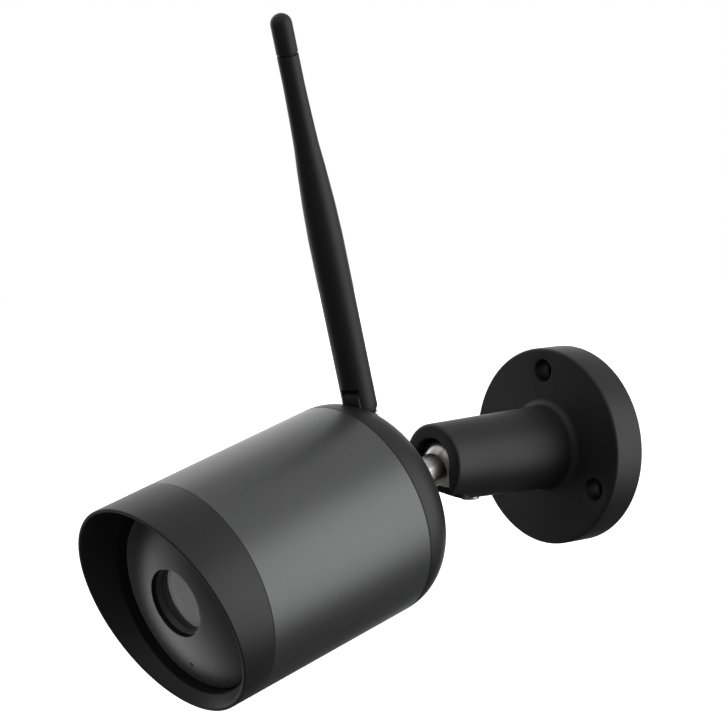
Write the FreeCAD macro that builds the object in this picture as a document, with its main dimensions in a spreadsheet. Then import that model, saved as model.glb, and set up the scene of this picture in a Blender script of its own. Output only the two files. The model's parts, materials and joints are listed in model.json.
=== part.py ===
# Outdoor Wi-Fi bullet camera on a ball-joint wall bracket, in millimetres.
#
# Row frame: the origin is the centre of the wall plate's back face, +Z is up and -Y is out of the wall.
# Two local frames keep the sketches simple. In the bracket frame +z is out of the wall and +y is up.
# In the head frame the origin is the ball's centre, +z is the way the lens looks and +y is the top of the head.
import FreeCAD, Part
import math
import os
import Sketcher
from FreeCAD import Placement, Rotation, Vector

doc = FreeCAD.newDocument("security_camera")


# ---------------------------------------------------------------- driving dimensions
class Size:
    """A length or an angle: its number now, and the expression that keeps an object bound to the sheet."""

    def __init__(self, value, text):
        self.value = float(value)
        self.text = text

    def __add__(self, other):
        other = as_size(other)
        return Size(self.value + other.value, f"({self.text} + {other.text})")

    def __sub__(self, other):
        other = as_size(other)
        return Size(self.value - other.value, f"({self.text} - {other.text})")

    def __mul__(self, other):
        other = as_size(other)
        return Size(self.value * other.value, f"({self.text} * {other.text})")

    def __truediv__(self, other):
        other = as_size(other)
        return Size(self.value / other.value, f"({self.text} / {other.text})")

    def __radd__(self, other):
        return as_size(other) + self

    def __rsub__(self, other):
        return as_size(other) - self

    def __rmul__(self, other):
        return as_size(other) * self

    def __neg__(self):
        return Size(-self.value, f"(0 - {self.text})")


def as_size(number):
    return number if isinstance(number, Size) else Size(number, f"{float(number):.6g}")


SIZES = {
    # wall bracket
    "plateRadius": 31.2, "plateThick": 11.6, "armRootRadius": 13.2, "armTipRadius": 12.0, "armReach": 60.5,
    "rootBlend": 2.5, "screwCircle": 24.1, "screwHole": 2.2, "headHole": 3.6, "headDepth": 7.5,
    # ball joint
    "ballRadius": 8.3, "ballReach": 52.7, "runGap": 0.05, "linerWall": 0.95, "mouthRadius": 7.6,
    "mouthFlare": 7.75, "slotBehindBall": 4.3, "neckRadius": 5.0, "neckLength": 20.0, "threadRadius": 3.0,
    "lockBehindBall": 7.8, "lockRadius": 2.9, "lockProud": 0.5,
    # head: shell
    "bodyRadius": 33.0, "rearFace": 28.0, "capLength": 14.6, "capEdge": 13.8, "capWall": 2.0,
    "tubeLength": 61.2, "tubeWall": 1.6, "spigot": 6.0, "fitGap": 0.1,
    "visorMean": 13.2, "visorSlant": 6.1, "visorEdge": 1.1, "ledgeRadius": 28.9, "ledgeAhead": 4.6,
    # head: domed front and window
    "domeRadius": 63.8, "domeAhead": 8.3, "faceRadius": 27.65, "faceDrop": 0.7, "faceTilt": 4.5, "faceWall": 2.0,
    "windowRecess": 10.2, "recessAhead": 6.1, "glassRadius": 9.0, "glassSight": 8.6, "glassAhead": 4.6,
    "micRadius": 20.8, "micAngle": 175.4, "micHole": 0.6,
    # head: optics
    "lensRadius": 6.0, "lensAhead": 2.2, "lensLength": 13.0, "sensorAhead": -17.4, "filterTravel": 6.0,
    # head: electronics
    "ledCircle": 18.5, "ledRadius": 2.5, "ledBoardAhead": -3.4, "boardThick": 1.6,
    "mainBoardY": -15.0, "mainBoardWide": 40.0, "mainBoardLong": 34.0,
    # rear fittings
    "rearScrewOffset": 10.6, "glandAngle": 210.0, "glandProud": 0.6, "glandRadius": 4.4, "glandBore": 2.2,
    # antenna
    "antennaRear": 10.5, "pinHeight": 31.5, "seatHeight": 26.0, "mastRadius": 5.05, "tipRadius": 3.1,
    "mastLength": 119.2, "slotTop": 5.8, "tongueWide": 5.3, "crownRadius": 5.5, "stemRadius": 1.9,
    # how the head stands at rest
    "panRest": 0.66, "tiltRest": 14.8, "rollRest": -5.4, "forkTurn": 20.0, "mastLean": 3.8,
}

sheet = doc.addObject("Spreadsheet::Sheet", "sizes")


class Dims:
    """The sheet's cells by name."""


d = Dims()
for row, (alias, number) in enumerate(SIZES.items(), start=1):
    sheet.set(f"A{row}", alias)
    sheet.set(f"B{row}", str(number))
    sheet.setAlias(f"B{row}", alias)
    setattr(d, alias, Size(number, f"sizes.{alias}"))
doc.recompute()

# places along the head's axis
rearSeam = d.rearFace + d.capLength
frontSeam = rearSeam + d.tubeLength
antennaZ = rearSeam - d.antennaRear

X_AXIS = Vector(1, 0, 0)
Y_AXIS = Vector(0, 1, 0)
Z_AXIS = Vector(0, 0, 1)
TURNS = {"z": Rotation(), "x": Rotation(Y_AXIS, 90), "y": Rotation(X_AXIS, -90), "-y": Rotation(X_AXIS, 90)}

pieces = {}


# ---------------------------------------------------------------- small builders
def place(obj, x, y, z, turn=Rotation()):
    """Put a feature at a bound place."""
    obj.Placement = Placement(Vector(0, 0, 0), turn)
    for axis, size in (("x", x), ("y", y), ("z", z)):
        size = as_size(size)
        if size.value or "sizes" in size.text:
            obj.setExpression(f"Placement.Base.{axis}", size.text)
    return obj


def cylinder(name, radius, length, x=0, y=0, z=0, axis="z"):
    obj = doc.addObject("Part::Cylinder", name)
    obj.setExpression("Radius", as_size(radius).text)
    obj.setExpression("Height", as_size(length).text)
    return place(obj, x, y, z, TURNS[axis])


def cone(name, radius1, radius2, length, x=0, y=0, z=0, axis="z"):
    obj = doc.addObject("Part::Cone", name)
    obj.setExpression("Radius1", as_size(radius1).text)
    obj.setExpression("Radius2", as_size(radius2).text)
    obj.setExpression("Height", as_size(length).text)
    return place(obj, x, y, z, TURNS[axis])


def sphere(name, radius, x=0, y=0, z=0):
    obj = doc.addObject("Part::Sphere", name)
    obj.setExpression("Radius", as_size(radius).text)
    return place(obj, x, y, z)


def torus(name, ring, wire, x=0, y=0, z=0):
    obj = doc.addObject("Part::Torus", name)
    obj.setExpression("Radius1", as_size(ring).text)
    obj.setExpression("Radius2", as_size(wire).text)
    return place(obj, x, y, z)


def block(name, wide, deep, tall, x=0, y=0, z=0):
    """A box centred on x and y that stands on z."""
    obj = doc.addObject("Part::Box", name)
    obj.setExpression("Length", as_size(wide).text)
    obj.setExpression("Width", as_size(deep).text)
    obj.setExpression("Height", as_size(tall).text)
    return place(obj, x - as_size(wide) / 2, y - as_size(deep) / 2, z)


def ring(name, outer, inner, length, x=0, y=0, z=0):
    return cut(name, cylinder(name + "_outer", outer, length, x, y, z),
               cylinder(name + "_inner", inner, as_size(length) + 2, x, y, as_size(z) - 1))


def join(name, *shapes):
    obj = doc.addObject("Part::MultiFuse", name)
    obj.Shapes = list(shapes)
    return obj


def cut(name, base, *tools):
    obj = doc.addObject("Part::Cut", name)
    obj.Base = base
    obj.Tool = tools[0] if len(tools) == 1 else join(name + "_tools", *tools)
    return obj


def common(name, first, second):
    obj = doc.addObject("Part::Common", name)
    obj.Base = first
    obj.Tool = second
    return obj


def group(name, *shapes):
    """Separate solids that share a node."""
    obj = doc.addObject("Part::Compound", name)
    obj.Links = list(shapes)
    return obj


def arc_centre(start, end, bend):
    """Centre of the short arc from start to end: bend is its radius, positive to turn left."""
    chord = end - start
    middle = (start + end) * 0.5
    offset = math.sqrt(max(bend * bend - chord.Length ** 2 / 4, 0))
    left = Vector(-chord.y, chord.x, 0).normalize()
    return middle + left * (offset if bend > 0 else -offset)


def turned(name, outline):
    """A lathe-turned solid about z. Each point is (radius, z) or (radius, z, bend of the edge to the next)."""
    body = doc.addObject("PartDesign::Body", name)
    sketch = body.newObject("Sketcher::SketchObject", name + "_outline")
    plane = [item for item in body.Origin.OriginFeatures if item.Role == "XZ_Plane"][0]
    sketch.AttachmentSupport = [(plane, "")]
    sketch.MapMode = "FlatFace"
    corners = [(as_size(point[0]), as_size(point[1])) for point in outline]
    bends = [as_size(point[2]) if len(point) > 2 else None for point in outline]
    spots = [Vector(r.value, z.value, 0) for r, z in corners]
    ends = []
    for number, bend in enumerate(bends):
        start = spots[number]
        end = spots[(number + 1) % len(spots)]
        if bend is None:
            edge = sketch.addGeometry(Part.LineSegment(start, end))
            ends.append((edge, 1, 2))
            continue
        centre = arc_centre(start, end, bend.value)
        circle = Part.Circle(centre, Z_AXIS, abs(bend.value))
        first, last = (start, end) if bend.value > 0 else (end, start)
        begin_angle = math.atan2(first.y - centre.y, first.x - centre.x)
        end_angle = math.atan2(last.y - centre.y, last.x - centre.x)
        edge = sketch.addGeometry(Part.ArcOfCircle(circle, begin_angle, end_angle))
        ends.append((edge, 1, 2) if bend.value > 0 else (edge, 2, 1))
        mark = sketch.addConstraint(Sketcher.Constraint("Radius", edge, abs(bend.value)))
        text = bend.text if bend.value > 0 else (-bend).text
        sketch.setExpression(f"Constraints[{mark}]", text)
    for number, (edge, start_end, _) in enumerate(ends):
        before, _, before_end = ends[number - 1]
        sketch.addConstraint(Sketcher.Constraint("Coincident", before, before_end, edge, start_end))
        for kind, size, axis in (("DistanceX", corners[number][0], -2), ("DistanceY", corners[number][1], -1)):
            if abs(size.value) < 1e-9:
                sketch.addConstraint(Sketcher.Constraint("PointOnObject", edge, start_end, axis))
                continue
            mark = sketch.addConstraint(Sketcher.Constraint(kind, edge, start_end, size.value))
            sketch.setExpression(f"Constraints[{mark}]", size.text)
    turn = body.newObject("PartDesign::Revolution", name + "_turn")
    turn.Profile = sketch
    turn.ReferenceAxis = (sketch, ["V_Axis"])
    turn.Angle = 360
    body.Tip = turn
    return body


def around(angle, radius):
    """A bound place on a circle, with the angle in degrees from +y towards -x."""
    angle = as_size(angle)
    radius = as_size(radius)
    x = Size(-radius.value * math.sin(math.radians(angle.value)), f"(0 - {radius.text} * sin({angle.text} * 1 deg))")
    y = Size(radius.value * math.cos(math.radians(angle.value)), f"({radius.text} * cos({angle.text} * 1 deg))")
    return x, y


def sag(bend, half):
    """How far a sphere of radius bend bulges over a disc of radius half."""
    return Size(bend - math.sqrt(bend ** 2 - half ** 2), f"({bend:g} - sqrt({bend:g} ^ 2 - {half:g} ^ 2))")


# ---------------------------------------------------------------- where the local frames stand
bracketPlace = Placement(Vector(0, 0, 0), Rotation(X_AXIS, 90))
panTurn = Rotation(Z_AXIS, d.panRest.value)
tiltTurn = Rotation(X_AXIS, d.tiltRest.value)
rollTurn = Rotation(Z_AXIS, d.rollRest.value)
ballCentre = Vector(0, -d.ballReach.value, 0)
headTurn = panTurn.multiply(tiltTurn).multiply(Rotation(X_AXIS, 90)).multiply(rollTurn)
headPlace = Placement(ballCentre, headTurn)
linerPlace = Placement(ballCentre, panTurn.multiply(Rotation(X_AXIS, 90)))
# the antenna's base frame has its origin on the head's axis and +z up through the swivel stem
baseTurn = Rotation(Y_AXIS, d.forkTurn.value).multiply(Rotation(X_AXIS, -90))
basePlace = headPlace.multiply(Placement(Vector(0, 0, antennaZ.value), baseTurn))
# the mast's frame has its origin at the hinge pin and +z along the mast
leanTurn = Rotation(X_AXIS, d.mastLean.value)
mastPlace = basePlace.multiply(Placement(Vector(0, 0, d.pinHeight.value), leanTurn))
# the gland stands square on the cap's rounded edge; its frame has +z into the camera
slope = math.radians(45)
turnAngle = math.radians(d.glandAngle.value)
outAcross = Vector(math.sin(turnAngle), math.cos(turnAngle), 0)
glandInward = outAcross * -math.sin(slope) + Z_AXIS * math.cos(slope)
edgeCentre = outAcross * (d.bodyRadius - d.capEdge).value + Z_AXIS * (d.rearFace + d.capEdge).value
glandSpot = Placement(edgeCentre - glandInward * (d.capEdge + d.glandProud).value, Rotation(Z_AXIS, glandInward))
glandPlace = headPlace.multiply(glandSpot)


def piece(label, obj, where):
    """Name a finished piece and stand it in the row frame; a bare primitive keeps its own place in a group."""
    if obj.TypeId in ("Part::Cylinder", "Part::Box", "Part::Torus"):
        obj = group(label + "_body", obj)
    obj.Label = label
    obj.Placement = where
    pieces[label] = obj


# ---------------------------------------------------------------- wall bracket and ball joint
def wall_bracket():
    seat = d.ballRadius + d.runGap
    bore = seat + d.linerWall + d.runGap
    lip = Size(math.sqrt(seat.value ** 2 - d.mouthRadius.value ** 2),
               f"sqrt({seat.text} ^ 2 - {d.mouthRadius.text} ^ 2)")
    solid = turned("bracket_turning", [
        (bore, 0), (d.plateRadius - 0.6, 0), (d.plateRadius, 0.6),
        (d.plateRadius, d.plateThick - 1), (d.plateRadius - 1, d.plateThick),
        (d.armRootRadius + d.rootBlend, d.plateThick, -d.rootBlend),
        (d.armRootRadius, d.plateThick + d.rootBlend),
        (d.armTipRadius, d.armReach - 0.8), (d.armTipRadius - 0.8, d.armReach),
        (d.mouthFlare, d.armReach), (d.mouthRadius, d.armReach - 3),
        (d.mouthRadius, d.ballReach + lip, -seat), (seat, d.ballReach),
        (seat, d.ballReach - 0.4), (bore, d.ballReach - 0.4)])
    wide = d.mouthRadius * 2
    drop = d.armTipRadius + 4
    round_end = d.ballReach - d.slotBehindBall + d.mouthRadius
    slot = join("slot", block("slot_walls", wide, drop, d.armReach - round_end + 2, 0, -drop / 2, round_end),
                cylinder("slot_end", d.mouthRadius, drop, 0, 0, round_end, "-y"))
    lock = cylinder("lock_hole", d.lockRadius + 0.1, drop, 0, 0, d.ballReach - d.lockBehindBall, "-y")
    tools = [slot, lock]
    for number, angle in enumerate((0, 120, 240)):
        x, y = around(angle, d.screwCircle)
        tools.append(cylinder(f"wall_hole_{number}", d.screwHole, d.plateThick + 2, x, y, -1))
        tools.append(cylinder(f"head_hole_{number}", d.headHole, d.headDepth + 1, x, y, d.plateThick - d.headDepth))
    piece("wall_bracket", cut("bracket_cut", solid, *tools), bracketPlace)


def socket_liner():
    inner = d.ballRadius + d.runGap
    outer = inner + d.linerWall
    shell = cut("liner_shell", sphere("liner_outer", outer), sphere("liner_inner", inner))
    reach = Size(math.cos(math.radians(65)), "cos(65 deg)")
    keep = block("liner_keep", 20, 20, 9.5 - outer * reach, 0, 0, -9.5)
    relief = cylinder("liner_vent", 2, 6, 0, 0, -11)
    piece("socket_liner", cut("liner_cup", common("liner_cap", shell, keep), relief), linerPlace)


def lock_pieces():
    z = d.ballReach - d.lockBehindBall
    ball_gap = d.ballRadius + d.linerWall + 3 * d.runGap
    top = as_size(-4.6)
    shoe_blank = cylinder("shoe_blank", d.lockRadius, 4.4, 0, top, z, "-y")
    shoe_hollow = sphere("shoe_hollow", ball_gap, 0, 0, d.ballReach)
    piece("clamp_shoe", cut("shoe_cut", shoe_blank, shoe_hollow), bracketPlace)
    bottom = -(d.armTipRadius + 0.35 + d.lockProud)
    screw_top = top - 4.4 - d.runGap
    screw = cylinder("screw_blank", d.lockRadius, screw_top - bottom, 0, screw_top, z, "-y")
    socket = doc.addObject("Part::Prism", "screw_socket")
    socket.Polygon = 6
    socket.Circumradius = 1.45
    socket.Height = 2.5
    place(socket, 0, bottom - 0.5, z, TURNS["y"])
    piece("lock_screw", cut("screw_cut", screw, socket), bracketPlace)


def ball_stud():
    neck_foot = Size(math.sqrt(d.ballRadius.value ** 2 - d.neckRadius.value ** 2),
                     f"sqrt({d.ballRadius.text} ^ 2 - {d.neckRadius.text} ^ 2)")
    tip = d.rearFace + 9.5
    stud = turned("stud_turning", [
        (0, -d.ballRadius, d.ballRadius), (d.ballRadius, 0, d.ballRadius), (d.neckRadius, neck_foot),
        (d.neckRadius, d.neckLength - 0.6), (d.neckRadius - 0.6, d.neckLength), (d.threadRadius, d.neckLength),
        (d.threadRadius, tip - 0.6), (d.threadRadius - 0.6, tip), (0, tip)])
    flats = [block(f"spanner_flat_{side}", 3, 14, 5, side * 5.9, 0, 14) for side in (-1, 1)]
    piece("ball_stud", cut("stud_cut", stud, *flats), headPlace)


def hexagon(name, across, height, z):
    obj = doc.addObject("Part::Prism", name)
    obj.Polygon = 6
    obj.Circumradius = across / math.sqrt(3)
    obj.Height = height
    return place(obj, 0, 0, z)


def stud_nut():
    nut = cut("nut_cut", hexagon("nut_blank", 12, 5.0, d.neckLength + 1.4),
              cylinder("nut_bore", d.threadRadius, 8, 0, 0, d.neckLength))
    piece("stud_nut", nut, headPlace)
    piece("stud_washer", ring("washer_ring", 7.5, d.threadRadius + 0.1, 1.4, 0, 0, d.rearFace - 1.4), headPlace)


# ---------------------------------------------------------------- head: shell
def on_gland_axis(name, radius, start, end):
    obj = doc.addObject("Part::Cylinder", name)
    obj.Radius = radius
    obj.Height = end - start
    obj.Placement = glandSpot.multiply(Placement(Vector(0, 0, start), Rotation()))
    return obj


def rear_cap():
    start = d.rearFace
    straight = start + d.capEdge
    flat = d.bodyRadius - d.capEdge
    inner_edge = d.capEdge - d.capWall
    spigot = d.bodyRadius - d.tubeWall - d.fitGap
    shell = turned("cap_outer", [
        (0, start), (flat, start, d.capEdge), (d.bodyRadius, straight), (d.bodyRadius, rearSeam),
        (spigot, rearSeam), (spigot, rearSeam + d.spigot), (0, rearSeam + d.spigot)])
    hollow = turned("cap_hollow", [
        (0, start + d.capWall), (flat, start + d.capWall, inner_edge), (flat + inner_edge, straight),
        (spigot - 2, rearSeam), (spigot - 2, rearSeam + d.spigot + 1), (0, rearSeam + d.spigot + 1)])
    outer = join("cap_solid", shell, on_gland_axis("gland_boss", 5.6, 0, 4))
    stud_boss = cylinder("stud_boss", 7, 10, 0, 0, start)
    antenna_boss = block("antenna_boss", 12, 12, 9.5, 0, 23.5, start)
    room = cut("cap_room", hollow, stud_boss, antenna_boss, on_gland_axis("gland_pad", 5.6, 0, 4))
    seat = cylinder("antenna_seat", d.mastRadius + 0.55, 12, 0, d.seatHeight - 1, antennaZ, "y")
    stem = cylinder("stem_bore", d.stemRadius + d.runGap, 20, 0, 12, antennaZ, "y")
    clip = cylinder("clip_room", 2.9, 4, 0, 13.5, antennaZ, "y")
    groove = ring("rear_groove", spigot + 1, spigot - 1.5, 2.0, 0, 0, rearSeam + 2)
    gland = on_gland_axis("gland_hole", 3.4, -1, 6)
    stud_bore = cylinder("stud_bore", d.threadRadius + d.runGap, 14, 0, 0, start - 1)
    screws = []
    for number, (side, level) in enumerate(((1, 1), (-1, 1), (-1, -1), (1, -1))):
        x = side * d.rearScrewOffset
        y = level * d.rearScrewOffset
        screws.append(cylinder(f"cap_screw_hole_{number}", 1.5, 8, x, y, start - 1))
        screws.append(cylinder(f"cap_head_hole_{number}", 2.7, 2.2, x, y, start - 1))
    cap = cut("cap_cut", outer, room, seat, stem, clip, groove, gland, stud_bore, *screws)
    piece("rear_cap", cap, headPlace)


def barrel():
    tube = ring("tube_ring", d.bodyRadius, d.bodyRadius - d.tubeWall, d.tubeLength, 0, 0, rearSeam)
    piece("barrel", tube, headPlace)


def slanted_hoop(name, radius, ahead, slant):
    """The ellipse in which a slanting plane cuts a cylinder of this radius."""
    tilt = math.atan2(slant.value, d.bodyRadius.value)
    hoop = doc.addObject("Part::Ellipse", name)
    hoop.setExpression("MajorRadius", (as_size(radius) / Size(math.cos(tilt), f"{math.cos(tilt):.9f}")).text)
    hoop.setExpression("MinorRadius", as_size(radius).text)
    turn = Rotation(X_AXIS, math.degrees(tilt)).multiply(Rotation(Z_AXIS, 90))
    return place(hoop, 0, 0, ahead, turn)


def visor():
    spigot = d.bodyRadius - d.tubeWall - d.fitGap
    blank = turned("visor_blank", [
        (d.ledgeRadius, frontSeam - d.spigot), (spigot, frontSeam - d.spigot), (spigot, frontSeam),
        (d.bodyRadius, frontSeam), (d.bodyRadius, frontSeam + 24), (0, frontSeam + 24),
        (0, frontSeam + d.ledgeAhead), (d.ledgeRadius, frontSeam + d.ledgeAhead)])
    tilt = math.degrees(math.atan2(d.visorSlant.value, d.bodyRadius.value))
    slice_off = doc.addObject("Part::Cylinder", "visor_slice")
    slice_off.Radius = 60
    slice_off.Height = 40
    place(slice_off, 0, 0, frontSeam + d.visorMean, Rotation(X_AXIS, tilt))
    ledge = doc.addObject("Part::Circle", "visor_ledge")
    ledge.setExpression("Radius", d.ledgeRadius.text)
    place(ledge, 0, 0, frontSeam + d.ledgeAhead - 0.01, Rotation(Z_AXIS, 90))
    mouth = slanted_hoop("visor_mouth", d.bodyRadius - d.visorEdge, frontSeam + d.visorMean, d.visorSlant)
    dish = doc.addObject("Part::Loft", "visor_dish")
    dish.Sections = [ledge, mouth]
    dish.Solid = True
    dish.Ruled = True
    groove = ring("front_groove", spigot + 1, spigot - 1.5, 2.0, 0, 0, frontSeam - 4)
    piece("visor", cut("visor_cut", blank, slice_off, dish, groove), headPlace)


def seals():
    wire = 0.76
    centre = d.bodyRadius - d.tubeWall - 0.02 - wire
    piece("front_seal", torus("front_oring", centre, wire, 0, 0, frontSeam - 3), headPlace)
    piece("rear_seal", torus("rear_oring", centre, wire, 0, 0, rearSeam + 3), headPlace)


def tilted_cylinder(name, radius, back, front):
    obj = doc.addObject("Part::Cylinder", name)
    obj.setExpression("Radius", radius.text)
    obj.setExpression("Height", (front - back).text)
    lean = Rotation(X_AXIS, -d.faceTilt.value)
    shift = lean.multVec(Vector(0, 0, back.value - frontSeam.value))
    spot = Vector(0, -d.faceDrop.value, frontSeam.value + 2) + shift
    obj.Placement = Placement(spot, lean)
    return obj


def front_panel():
    domeCentre = frontSeam + d.domeAhead - d.domeRadius
    rim = tilted_cylinder("face_side", d.faceRadius, frontSeam - 3.6, frontSeam + 14)
    face = common("face_solid", rim, sphere("face_dome", d.domeRadius, 0, 0, domeCentre))
    flange = cylinder("face_flange", d.ledgeRadius - d.fitGap, 2, 0, 0, frontSeam - 5.2)
    core = tilted_cylinder("face_core", d.faceRadius - d.faceWall, frontSeam - 12, frontSeam + 14)
    inside = common("face_inside", core, sphere("face_inner_dome", d.domeRadius - d.faceWall, 0, 0, domeCentre))
    boss = cylinder("window_boss", 11.6, 10, 0, 0, frontSeam + 2.2)
    room = cut("face_room", inside, boss)
    recess = cylinder("window_recess", d.windowRecess, 8, 0, 0, frontSeam + 3.2)
    sight = cylinder("window_sight", 7.4, 8, 0, 0, frontSeam)
    x, y = around(d.micAngle, d.micRadius)
    mic = cylinder("mic_hole", d.micHole, 12, x, y, frontSeam)
    panel = cut("panel_cut", join("panel_solid", face, flange), room, recess, sight, mic)
    piece("front_panel", panel, headPlace)


def window_pieces():
    floor = frontSeam + 3.2
    glass = frontSeam + d.glassAhead - 1.0
    outer = d.windowRecess - d.fitGap
    bezel = turned("bezel_turning", [
        (d.glassRadius + 0.05, floor), (outer, floor), (outer, frontSeam + d.recessAhead),
        (outer - 0.3, frontSeam + d.recessAhead), (d.glassSight, frontSeam + d.glassAhead + 0.02),
        (d.glassRadius + 0.05, frontSeam + d.glassAhead + 0.02)])
    piece("window_bezel", bezel, headPlace)
    piece("lens_window", cylinder("window_disc", d.glassRadius, 1.0, 0, 0, glass), headPlace)
    piece("window_gasket", ring("gasket_ring", d.glassRadius, 7.4, 0.38, 0, 0, floor), headPlace)


# ---------------------------------------------------------------- head: optics
def lens_pieces():
    front = frontSeam + d.lensAhead
    back = front - d.lensLength
    hood_back = frontSeam + d.ledBoardAhead + d.boardThick + 0.1
    piece("light_hood", ring("hood_ring", 7.3, 6.9, frontSeam + 3.1 - hood_back, 0, 0, hood_back), headPlace)
    shell = turned("lens_shell", [
        (4.2, front - 1.2), (4.2, front), (6.4, front), (6.4, front - 4), (d.lensRadius, front - 4),
        (d.lensRadius, back), (3.2, back), (3.2, back + 2), (4.8, back + 2), (4.8, front - 1.2)])
    piece("lens_barrel", shell, headPlace)
    first = turned("first_element", [
        (0, front - 4.0), (4.7, front - 4.0), (4.7, front - 1.25), (4.15, front - 1.25, 9.0),
        (0, front - 1.25 + sag(9.0, 4.15))])
    piece("front_element", first, headPlace)
    second = turned("second_element", [
        (0, back + 2.9 - sag(14.0, 4.7), 14.0), (4.7, back + 2.9), (4.7, back + 5.4), (0, back + 5.4)])
    piece("rear_element", second, headPlace)
    piece("element_spacer", ring("spacer_ring", 4.7, 3.6, front - back - 9.6, 0, 0, back + 5.5), headPlace)
    lock = ring("lens_lock_blank", 7.4, d.lensRadius, 1.6, 0, 0, back + 7.2)
    piece("lens_lock_ring", lock, headPlace)


def holder_pieces():
    base = frontSeam + d.sensorAhead
    back = frontSeam + d.lensAhead - d.lensLength
    foot = block("holder_foot", 26, 16, 5.0, 0, 0, base)
    neck = cylinder("holder_neck", 8.4, back + 7.1 - base - 4, 0, 0, base + 4)
    tunnel = block("holder_tunnel", 30, 11.4, 1.8, 0, 0, base + 2.2)
    light = block("holder_light", 7.4, 7.4, 12, 0, 0, base - 1)
    thread = cylinder("holder_thread", d.lensRadius, 12, 0, 0, back - 0.4)
    drive = cylinder("holder_drive", 1.2, 6, 0, 6.5, base + 3.1, "y")
    piece("lens_holder", cut("holder_cut", join("holder_solid", foot, neck), tunnel, light, thread, drive), headPlace)
    half = d.filterTravel / 2
    carrier = block("filter_blank", 17, 10.8, 1.2, -half, 0, base + 2.5)
    windows = [block(f"filter_window_{n}", 5.4, 7.4, 2, x, 0, base + 2.2) for n, x in enumerate((0, -d.filterTravel))]
    piece("filter_slider", cut("filter_cut", carrier, *windows), headPlace)
    glasses = [block(f"filter_glass_{n}", 5.4, 7.4, 0.5, x, 0, base + 2.8)
               for n, x in enumerate((0, -d.filterTravel))]
    piece("filter_glasses", group("filter_glass_pair", *glasses), headPlace)
    coil = cylinder("coil_body", 3.4, 7, 0, 8.7, base + 3.4, "y")
    piece("filter_coil", coil, headPlace)
    chip = block("sensor_chip", 9, 7.2, 0.9, 0, 0, base - 0.9)
    lid = block("sensor_lid", 6.4, 5.2, 0.4, 0, 0, base)
    piece("image_sensor", join("sensor_join", chip, lid), headPlace)
    board = block("sensor_board_blank", 32, 32, 1.2, 0, 0, base - 2.1)
    holes = [cylinder(f"sensor_board_hole_{n}", 1.1, 4, sx * 13.5, sy * 13.5, base - 4)
             for n, (sx, sy) in enumerate(((1, 1), (-1, 1), (-1, -1), (1, -1)))]
    piece("sensor_board", cut("sensor_board_cut", board, *holes), headPlace)


# ---------------------------------------------------------------- head: electronics
def light_board():
    back = frontSeam + d.ledBoardAhead
    front = back + d.boardThick
    board = ring("led_board_ring", 24.0, 7.6, d.boardThick, 0, 0, back)
    piece("led_board", board, headPlace)
    leds = []
    for number in range(6):
        x, y = around(30 + 60 * number, d.ledCircle)
        can = cylinder(f"led_can_{number}", d.ledRadius, 1.6, x, y, front)
        dome = sphere(f"led_dome_{number}", d.ledRadius - 0.4, x, y, front + 2.2)
        leds.append(join(f"led_{number}", can, dome))
    piece("infrared_leds", group("led_group", *leds), headPlace)
    x, y = around(0, d.ledCircle)
    piece("daylight_sensor", cylinder("daylight_can", 1.5, 2.2, x, y, front), headPlace)
    x, y = around(d.micAngle, d.micRadius)
    piece("microphone", cylinder("mic_can", 2.0, 1.5, x, y, front), headPlace)
    boot = ring("mic_boot_ring", 1.9, 0.7, 1.6, x, y, front + 1.5)
    piece("microphone_boot", boot, headPlace)
    posts = [cylinder(f"led_post_{n}", 1.4, back - frontSeam - d.sensorAhead + 2.1, sx * 13.5, sy * 13.5,
                      frontSeam + d.sensorAhead - 0.9)
             for n, (sx, sy) in enumerate(((1, 1), (-1, 1), (-1, -1), (1, -1)))]
    trimmed = [cut(f"led_post_cut_{n}", post, block(f"led_post_trim_{n}", 60, 60, 10, 0, 0, back))
               for n, post in enumerate(posts)]
    piece("board_standoffs", group("standoff_group", *trimmed), headPlace)


def main_board():
    long = d.mainBoardLong
    start = rearSeam + 4.5
    board = block("main_board_blank", d.mainBoardWide, d.boardThick, long, 0, d.mainBoardY, start)
    piece("main_board", board, headPlace)
    top = d.mainBoardY + d.boardThick / 2
    processor = block("processor_chip", 14, 1.4, 14, -6, top + 0.7, start + 12)
    piece("processor", processor, headPlace)
    spreader = block("sink_base", 15, 1.2, 15, -6, top + 2.0, start + 11.5)
    fins = [block(f"sink_fin_{n}", 1.0, 4.0, 15, -12.5 + 3.25 * n, top + 4.5, start + 11.5) for n in range(5)]
    piece("heat_sink", join("sink_join", spreader, *fins), headPlace)
    wifi = block("wifi_base", 12, 1.0, 16, 12, top + 0.5, start + 14)
    can = block("wifi_can", 10.5, 1.6, 11, 12, top + 1.8, start + 16)
    piece("wifi_module", join("wifi_join", wifi, can), headPlace)
    chips = [block("memory_chip", 8, 1.0, 6, -8, top + 0.5, start + 3),
             block("power_chip", 5, 1.2, 5, 3, top + 0.6, start + 3),
             block("power_coil", 6, 3.6, 6, 12, top + 1.8, start + 3)]
    piece("board_chips", group("chip_group", *chips), headPlace)
    under = d.mainBoardY - d.boardThick / 2
    socket = block("lead_socket_body", 9, 4.6, 6, 0, under - 2.3, start + 0.5)
    piece("lead_socket", socket, headPlace)


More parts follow.
